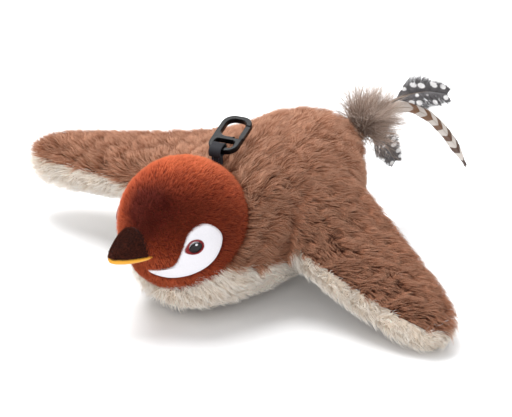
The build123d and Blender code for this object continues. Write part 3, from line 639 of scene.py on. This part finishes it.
def from_head(points):
    """Points of the frame in head coordinates (left, back, up)."""
    local = points - HEAD
    return np.column_stack([local @ HEAD_X, local @ HEAD_BACK, local @ UP])


def closed_curve(points, steps=8):
    """A smooth closed line through points."""
    before, after, later = np.roll(points, 1, 0), np.roll(points, -1, 0), np.roll(points, -2, 0)
    out = []
    for step in range(steps):
        t = step / steps
        square = (2 * before - 5 * points + 4 * after - later) * t**2
        cube = (3 * points - before - 3 * after + later) * t**3
        out.append(0.5 * (2 * points + (after - before) * t + square + cube))
    return np.stack(out, axis=1).reshape(-1, 2)


OUTLINE = closed_curve(PATCH_OUTLINE)


def cheek_axes(sign):
    outward = HEAD_X * sign * sin(PATCH_AZIMUTH) - HEAD_BACK * cos(PATCH_AZIMUTH)
    backward = HEAD_X * sign * cos(PATCH_AZIMUTH) + HEAD_BACK * sin(PATCH_AZIMUTH)
    return outward, backward


def on_cheek(flat, sign, radius):
    """Points drawn on the cheek's plane, laid on the head at a radius."""
    outward, backward = cheek_axes(sign)
    depth = np.sqrt(np.maximum(radius**2 - (flat**2).sum(axis=-1), 0))
    return HEAD + flat[..., :1] * backward + flat[..., 1:2] * UP + depth[..., None] * outward


def inside_outline(flat, outline):
    """Which points lie inside a closed outline."""
    x, y = flat.T
    inside = np.zeros(len(flat), bool)
    for (x0, y0), (x1, y1) in zip(outline, np.roll(outline, -1, 0)):
        crosses = (y0 > y) != (y1 > y)
        inside ^= crosses & (x < (x1 - x0) * (y - y0) / (y1 - y0 + 1e-12) + x0)
    return inside


def cheek_plane(points, sign):
    outward, backward = cheek_axes(sign)
    local = points - HEAD
    return np.column_stack([local @ backward, local @ UP]), local @ outward


def rust_material():
    """Short rust pile: painted sheen at the rims of the crown, painted shade, very dark red, on the forehead.
    """
    graph = Graph("rust_pile", 0.8, Sheen_Weight=0.35, Sheen_Roughness=0.4, Specular_IOR_Level=0.25)
    graph.shader.inputs["Sheen Tint"].default_value = (*linear(214, 110, 70), 1)
    # Darker roots: partly the fibres' own colour, partly painted shade deep in the pile between the fibres.
    along = graph.ramp(
        graph.attribute("tip").outputs["Fac"],
        ((0, linear(104, 24, 12)), (0.55, linear(184, 78, 42)), (1, linear(222, 122, 78))),
    )
    tone = graph.attribute("tone").outputs["Fac"]
    shade = graph.ramp(tone, ((0, (0.72, 0.64, 0.6)), (1, (1.15, 1.15, 1.15))))
    pile = graph.mix(1.0, along, shade, "MULTIPLY")
    # Painted light: this per-fibre factor darkens the pile to painted shade on the forehead and brightens it
    # to painted sheen at the crown and rims.
    painted_light = graph.attribute("painted_light").outputs["Fac"]
    painted_light_tint = graph.ramp(painted_light, ((0, (0.2, 0.06, 0.06)), (0.5, (0.82, 0.72, 0.68)), (1, (1.35, 1.6, 1.75))))
    graph.colour(graph.mix(1.0, pile, painted_light_tint, "MULTIPLY"))
    return graph.material


def painted_light_on_head(points):
    """How bright the head's pile is painted: painted shade on the forehead, over the eyes and on the upper
    sides, painted sheen at the crown, the right front rim and low on the left front.
    """
    local = unit(from_head(points))

    def near(direction, spread):
        axis = np.array(direction) / np.linalg.norm(direction)
        return np.exp(-((1 - local @ axis) / spread) ** 1.3)

    dark = near((0.05, -0.86, 0.42), 0.09)
    for side in (1, -1):
        dark = dark + 0.6 * near((side * 0.45, -0.6, 0.62), 0.11) + 0.35 * near((side * 0.9, 0.1, 0.35), 0.2)
    bright = near((0, 0.2, 0.95), 0.26) + near((-0.75, -0.55, 0.35), 0.22)
    bright = bright + 0.5 * near((0.5, -0.75, -0.45), 0.12)
    return np.clip(0.5 - 0.55 * dark + 0.45 * bright, 0, 1)


def sphere_mesh(name, radius, stretch):
    bpy.ops.mesh.primitive_ico_sphere_add(subdivisions=6, radius=radius)
    ball = bpy.context.object
    mesh = ball.data.copy()
    bpy.data.objects.remove(ball)
    mesh.name = name
    verts = np.empty(len(mesh.vertices) * 3)
    mesh.vertices.foreach_get("co", verts)
    local = verts.reshape(-1, 3) * stretch
    mesh.vertices.foreach_set("co", to_head(local).ravel())
    mesh.update()
    return mesh


def build_head():
    rust = rust_material()
    backing = fabric_material("rust_backing", linear(120, 36, 20), linear(88, 22, 12))
    skin = Skin(sphere_mesh("head_skin", HEAD_R - 1.7 * MM, np.array([1.0, 1.0, 1.02])))
    everywhere = np.ones(len(skin.tris), bool)
    cloth = skin.piece("head_skin", everywhere, backing, BODY, "rust_plush")
    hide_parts("head_plush")
    roots, normals = skin.scatter(everywhere, 6.4)
    free = np.ones(len(roots), bool)
    for sign in (1, -1):
        flat, depth = cheek_plane(roots, sign)
        free &= ~(inside_outline(flat, OUTLINE * 0.97 + PATCH_MIDDLE * 0.03) & (depth > 0))
    local = from_head(roots)
    in_body = (local[:, 1] > 17 * MM) & (local[:, 2] < 2 * MM)
    free &= ~in_body
    roots, normals = roots[free], normals[free]
    beak = to_head(np.array([[0, -30, 0]]) * MM)
    flow = unit(roots - beak) + np.array([0, 0, -0.25])
    # The head pile gets painted shade on the forehead and painted sheen at the crown and rims.
    grow("head_pile", roots, normals, flow, np.full(len(roots), 0.0031), 0.6, rust, BODY,
         clump=0.08, clump_size=0.0014, wander=0.15, painted_light=painted_light_on_head(roots), straight=True)
    for side, sign in (("left", 1), ("right", -1)):
        build_eye_patch(side, sign)


def build_eye_patch(side, sign):
    felt = fabric_material(f"{side}_white_fleece", linear(236, 234, 238), linear(214, 212, 218), 2600)
    rings = []
    for shrink, height in PATCH_RINGS:
        flat = PATCH_MIDDLE + (OUTLINE - PATCH_MIDDLE) * shrink
        rings.append(on_cheek(flat, sign, HEAD_R - 1.6 * MM + 2.0 * MM * height))
    rings = np.array(rings)
    layers, around = rings.shape[:2]
    verts = rings.reshape(-1, 3)
    faces = ring_quads(layers, around) + [tuple(range((layers - 1) * around, layers * around))]
    if sign < 0:
        faces = [face[::-1] for face in faces]
    patch = new_piece(f"{side}_fleece_patch", verts, faces, felt, BODY)
    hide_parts(f"{side}_eye_patch")
    build_eye(side, sign)


THREAD_R = 0.00013


def build_eye(side, sign):
    """Satin-stitched eye: black pupil, dark red rim and a small white glint."""
    pupil = Graph("pupil_thread", 0.35, Specular_IOR_Level=0.5)
    pupil.colour(pupil.mix(pupil.noise(2500), linear(16, 10, 12), linear(34, 26, 28)))
    rim = Graph("rim_thread", 0.45, Specular_IOR_Level=0.4)
    rim.colour(rim.mix(rim.noise(2500), linear(120, 22, 26), linear(160, 40, 42)))
    glint = Graph("glint_thread", 0.4)
    glint.colour(glint.mix(glint.noise(2500), linear(225, 225, 230), linear(245, 245, 248)))
    tilt = radians(24)
    turn = np.array([[cos(tilt), -sin(tilt)], [sin(tilt), cos(tilt)]])

    def stitches(label, material, starts, ends, height):
        """Rows of thread between paired points on the cheek's plane."""
        starts = starts @ turn.T + EYE_AT
        ends = ends @ turn.T + EYE_AT
        steps = np.linspace(0, 1, 5)
        flat = starts[:, None] * (1 - steps[None, :, None]) + ends[:, None] * steps[None, :, None]
        arch = np.sin(steps * pi) * 0.35 * MM
        base = HEAD_R + height * MM
        lines = np.stack([on_cheek(flat[:, i], sign, base + arch[i]) for i in range(5)], axis=1)
        thick = np.tile(np.array([1, 1, 1, 1, 0.6]), (len(lines), 1)) * THREAD_R
        return strands(f"{side}_eye_{label}", lines, thick, material, None, None, BODY)

    rows = np.linspace(-1, 1, 34)
    half = np.sqrt(1 - (rows * 0.98) ** 2)
    a, b = 2.9 * MM, 2.6 * MM
    low_ends = np.column_stack([rows * a, -half * b])
    high_ends = np.column_stack([rows * a, half * b])
    pupil_piece = stitches("pupil", pupil.material, low_ends, high_ends, 0.35)
    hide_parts(f"{side}_eye")
    angle = np.linspace(0, 2 * pi, 90, endpoint=False)
    circle = np.column_stack([np.cos(angle), np.sin(angle)])
    corner = 1 + 0.28 * np.maximum(-np.cos(angle), 0) ** 4
    outer = circle * np.column_stack([4.1 * MM * corner, np.full_like(angle, 3.5 * MM)])
    stitches("rim", rim.material, circle * np.array([2.8, 2.5]) * MM, outer, 0.3)
    rows = np.linspace(-1, 1, 9)
    spot = np.column_stack([rows * 0.55 * MM + 0.9 * MM, np.full_like(rows, 1.0 * MM)])
    reach = np.column_stack([np.zeros_like(rows), np.sqrt(1 - rows**2 * 0.9) * 0.6 * MM])
    stitches("glint", glint.material, spot - reach, spot + reach, 0.62)


# ---------------------------------------------------------------- beak
# Beak sections: (reach in front of the head's middle, half width, height), millimetres
UPPER_BEAK = ((20, 8.6, 11), (28, 8.2, 11.2), (33, 6.4, 9.6), (37, 4.2, 6.6), (40, 2.2, 3.6), (41, 0.8, 1.4))
LOWER_BEAK = ((20, 9.6, 3.6), (30, 9.0, 3.4), (36, 6.8, 3.2), (40, 3.6, 2.6), (42, 1.2, 1.4))
MOUTH_Z = -5.2


def beak_half(sections, upper, power):
    rings = []
    rows = stations(np.array(sections, float), 26)
    for reach, half, height in rows:
        angle = np.linspace(0, pi, 29)
        c, s = np.cos(angle), np.sin(angle)
        x = half * np.sign(c) * np.abs(c) ** (2 / power)
        z = height * np.abs(s) ** (2 / power) * (1 if upper else -1)
        under = np.linspace(-1, 1, 12)[1:-1]
        sag = 0.25 * (1 - under**2) * (-1 if upper else 1)
        x = np.concatenate([x, under * half])
        z = np.concatenate([z, sag]) + MOUTH_Z
        rings.append(to_head(np.column_stack([x, np.full_like(x, -reach), z]) * MM))
    return tube(rings)


def build_beak():
    dark = pile_material("beak_pile", linear(30, 10, 8), linear(66, 26, 16), linear(112, 54, 36), 0.3)
    yellow = fabric_material("beak_yellow", linear(240, 180, 66), linear(216, 146, 40), 2200)
    dark_cloth = fabric_material("beak_backing", linear(52, 20, 12), linear(34, 12, 8))
    verts, faces = beak_half(UPPER_BEAK, True, 2.0)
    upper = new_piece("upper_beak_skin", verts, faces, dark_cloth, BODY)
    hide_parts("upper_beak")
    skin = Skin(upper.data)
    keep = np.linalg.norm(skin.centres() - HEAD, axis=1) > HEAD_R - 0.5 * MM
    roots, normals = skin.scatter(keep, 9)
    flow = np.tile(-HEAD_BACK * 0.9 + UP * -0.1, (len(roots), 1))
    grow("upper_beak_pile", roots, normals, flow, np.full(len(roots), 0.0019), 0.65, dark, BODY,
         radius=0.00009, clump=0.15, clump_size=0.001)
    verts, faces = beak_half(LOWER_BEAK, False, 2.0)
    lower = new_piece("lower_beak_felt", verts, faces, yellow, BODY)
    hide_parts("lower_beak")


# ---------------------------------------------------------------- tail
ROOT = np.array([0, 45.5, 49.0]) * MM
# Quills from root to tip, millimetres
UPPER_QUILL = ((0.5, 46, 49), (3.5, 55, 57), (7, 65, 60), (11, 76, 60), (16, 85, 57))
LOWER_QUILL = ((-1, 46, 46), (-1.5, 53, 44), (-1.5, 60, 39), (-1, 65, 31), (0, 68, 25))
BARRED_QUILL = (
    (0, 46, 49), (3.5, 58, 54.5), (7, 68, 54), (9.5, 79, 47), (10.5, 89, 37), (11, 99, 24), (11, 105, 14),
)
BARB_STEPS = (0, 0.25, 0.5, 0.75, 1)
BARB_R, QUILL_R = 0.00016, 0.0004
VANE_UNIT = 0.040  # the length that the along and across attributes are counted in


def eased_line(points, steps):
    """An open line near given points in millimetres, with its corners eased."""
    points = np.array(points, float) * MM
    along = np.concatenate([[0], np.cumsum(np.linalg.norm(np.diff(points, axis=0), axis=1))])
    wanted = np.linspace(0, along[-1], steps)
    line = np.column_stack([np.interp(wanted, along, points[:, i]) for i in range(3)])
    for _ in range(max(2, steps // 5)):
        line[1:-1] = (line[:-2] + 2 * line[1:-1] + line[2:]) / 4
    return line


def vane(name, spine, facing, width, material, quill_material, node, barbs, sweep=0.8, fluff=0.15):
    """A feather: a quill, and barbs that leave it on both sides."""
    count = len(spine)
    tangent = unit(np.gradient(spine, axis=0))
    across = unit(np.cross(tangent, facing))
    place = np.linspace(0.04, 0.995, barbs)
    where = place * (count - 1)
    low = np.floor(where).astype(int)
    share = (where - low)[:, None]
    high = np.minimum(low + 1, count - 1)
    base = spine[low] * (1 - share) + spine[high] * share
    forward = unit(tangent[low] * (1 - share) + tangent[high] * share)
    outward = unit(across[low] * (1 - share) + across[high] * share)
    normal = unit(np.cross(forward, outward))
    lines, along_attr, across_attr = [], [], []
    for sign in (1, -1):
        reach = width(place)[:, None] * rng.uniform(0.9, 1.05, (barbs, 1))
        steps = []
        for t in BARB_STEPS:
            bend = outward * sign * reach * t + forward * reach * sweep * t**1.3
            bend = bend + normal * reach * (0.12 * t**2 + fluff * t * rng.normal(size=(barbs, 1)) * 0.5)
            steps.append(base + bend)
        lines.append(np.stack(steps, axis=1))
        travel = np.array(BARB_STEPS)
        along_attr.append(place[:, None] + reach * sweep * travel[None, :] ** 1.3 / VANE_UNIT)
        across_attr.append(sign * reach * travel[None, :] / VANE_UNIT)
    lines = np.concatenate(lines)
    thick = np.tile(np.array([1.0, 0.95, 0.9, 0.7, 0]), (len(lines), 1)) * BARB_R
    extra = {"along": np.concatenate(along_attr), "across": np.concatenate(across_attr)}
    piece = strands(name, lines, thick, material, None, extra, BODY)
    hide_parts(node)
    taper = np.linspace(1.0, 0.25, count)[None, :] * QUILL_R
    strands(f"{name}_quill", spine[None], taper, quill_material, None, None, BODY)


def spotted_material():
    """Dark grey vane with round white spots in loose rows."""
    graph = Graph("spotted_vane", 0.6, Sheen_Weight=0.2, Specular_IOR_Level=0.3)
    joined = graph.node("ShaderNodeCombineXYZ")
    graph.link(graph.attribute("along").outputs["Fac"], joined.inputs[0])
    graph.link(graph.attribute("across").outputs["Fac"], joined.inputs[1])
    cells = graph.node("ShaderNodeTexVoronoi")
    cells.inputs["Scale"].default_value = 9.5
    cells.inputs["Randomness"].default_value = 0.45
    graph.link(joined.outputs[0], cells.inputs["Vector"])
    dots = graph.ramp(cells.outputs["Distance"], ((0.30, (1, 1, 1)), (0.38, (0, 0, 0))))
    ground = graph.mix(graph.noise(400), linear(52, 50, 52), linear(104, 100, 102))
    graph.colour(graph.mix(dots, ground, linear(238, 236, 236)))
    return graph.material


def barred_material():
    """Cream vane with uneven brown bars, darker towards the tip."""
    graph = Graph("barred_vane", 0.6, Sheen_Weight=0.2, Specular_IOR_Level=0.3)
    along = graph.attribute("along").outputs["Fac"]
    wobble = graph.maths("MULTIPLY", graph.noise(300), 0.03)
    phase = graph.maths("MULTIPLY", graph.maths("ADD", along, wobble), 52.0)
    band = graph.maths("SINE", phase)
    bars = graph.ramp(graph.maths("MULTIPLY_ADD", band, 0.5), ((0.45, (0, 0, 0)), (0.6, (1, 1, 1))))
    started = graph.ramp(along, ((0.30, (0, 0, 0)), (0.36, (1, 1, 1))))
    brown = graph.ramp(along, ((0.4, linear(140, 98, 66)), (1.0, linear(66, 42, 34))))
    graph.colour(graph.mix(graph.mix(1.0, bars, started, "MULTIPLY"), linear(222, 212, 204), brown))
    return graph.material


def build_tail():
    quill = Graph("quill", 0.4)
    quill.colour(quill.mix(quill.noise(300), linear(120, 88, 60), linear(190, 168, 140)))
    spotted, barred = spotted_material(), barred_material()
    spine = eased_line(UPPER_QUILL, 30)
    vane("spotted_vane_upper", spine, np.array([0.55, -0.45, 0.7]),
         lambda t: 0.0085 * np.clip((t - 0.42) / 0.12, 0.08, 1) * np.sqrt(np.clip(1.06 - t, 0, 1)) * 1.6,
         spotted, quill.material, "spotted_feather_upper", 300)
    spine = eased_line(LOWER_QUILL, 26)
    vane("spotted_vane_lower", spine, np.array([0.6, -0.6, 0.5]),
         lambda t: 0.0085 * np.clip((t - 0.1) / 0.2, 0.2, 1) * np.sqrt(np.clip(1.08 - t, 0, 1)) * 1.2,
         spotted, quill.material, "spotted_feather_lower", 300)
    spine = eased_line(BARRED_QUILL, 60)
    vane("barred_vane", spine, np.array([0.75, -0.35, 0.55]),
         lambda t: 0.0029 * np.clip(t / 0.1, 0.4, 1) * np.clip((1.02 - t) / 0.25, 0.3, 1),
         barred, quill.material, "barred_feather", 700, 1.6, 0.05)
    build_down()


def build_down():
    """Loose grey-brown down that fans out of the binding."""
    down = pile_material("down", linear(130, 108, 94), linear(178, 156, 142), linear(222, 208, 198), 0.4)
    count = int(2400 * DENSITY) + 200
    steps = 6
    spread = rng.normal(size=(count, 3)) * np.array([0.55, 0.42, 0.5])
    heading = unit(np.array([0.05, 0.62, 0.75]) + spread)
    start = ROOT + np.array([0, -1.5, -0.5]) * MM + rng.normal(size=(count, 3)) * 0.0016
    length = rng.uniform(0.013, 0.030, count)
    line = [start]
    position, direction = start, heading
    for step in range(1, steps):
        curl = waves(position, 0.007, 31) * 0.35 + rng.normal(size=(count, 3)) * 0.10
        direction = unit(direction + curl + np.array([0, 0, -0.05]))
        position = position + direction * (length / (steps - 1))[:, None]
        line.append(position)
    lines = np.stack(line, axis=1)
    thick = np.tile(np.linspace(1, 0, steps), (count, 1)) * BARB_R
    piece = strands("down_tuft", lines, thick, down, None, None, BODY)
    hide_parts("downy_plume")


# ---------------------------------------------------------------- ribbon stitches
def build_stitches():
    """Two rows of violet-grey thread down the front of the neck ribbon."""
    thread = Graph("ribbon_thread", 0.6)
    thread.colour(thread.mix(thread.noise(1500), linear(92, 78, 100), linear(134, 118, 142)))
    low, _ = (Vector(corner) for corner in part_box("neck_ribbon"))
    middle_x, front = -2.0 * MM, -50.1 * MM
    lines = []
    for x in (middle_x - 1.7 * MM, middle_x + 1.7 * MM):
        for z in np.arange(low.z + 1 * MM, low.z + 7 * MM, 1.3 * MM):
            lines.append([(x, front - 0.05 * MM, z), (x, front - 0.16 * MM, z + 0.45 * MM),
                          (x, front - 0.05 * MM, z + 0.9 * MM)])
    lines = np.array(lines)
    thick = np.tile(np.array([1.0, 1.0, 0.5]), (len(lines), 1)) * THREAD_R
    strands("ribbon_stitches", lines, thick, thread.material, None, None, BODY)


# ---------------------------------------------------------------- carried-over CAD nodes
def plain_material(slot, facts):
    """A finish for a CAD node from the record's slot: its colour with wear, grain or weave."""
    kind = facts["class"]
    colour = tuple(facts["base_color"][:3])
    metal = kind in ("brushed_steel", "brass")
    rough = {"gloss_plastic": 0.22, "matte_plastic": 0.5, "glass": 0.08, "leather": 0.55}.get(kind, 0.85)
    graph = Graph(f"cad_{slot}", 0.32 if metal else rough)
    if slot == "black_plastic":
        colour = linear(7, 7, 9)
        graph.shader.inputs["Specular IOR Level"].default_value = 0.14
    if slot == "ribbon":
        graph.shader.inputs["Specular IOR Level"].default_value = 0.2
    graph.shader.inputs["Metallic"].default_value = 1.0 if metal else 0.0
    grain = {"fabric": 2600, "leather": 900, "rubber": 600}.get(kind, 500)
    darker = tuple(c * 0.8 for c in colour)
    graph.colour(graph.mix(graph.noise(grain, 4), darker, colour))
    graph.bump(graph.noise(grain * 2, 5), 0.5 if kind in ("fabric", "leather") else 0.08, 0.0002)
    return graph.material


def finish_cad_nodes():
    slots = {entry["slot"]: entry for entry in frame["record"]["materials"]}
    made = {name: plain_material(name, facts) for name, facts in slots.items()}
    for entry in frame["record"]["subparts"]:
        node = frame["nodes"][entry["node"]]
        node = bpy.data.objects[node] if isinstance(node, str) else node
        node.data.materials.clear()
        node.data.materials.append(made[entry["material_slot"]])


build_studio()
finish_cad_nodes()
build_body()
build_head()
build_beak()
build_tail()
build_stitches()
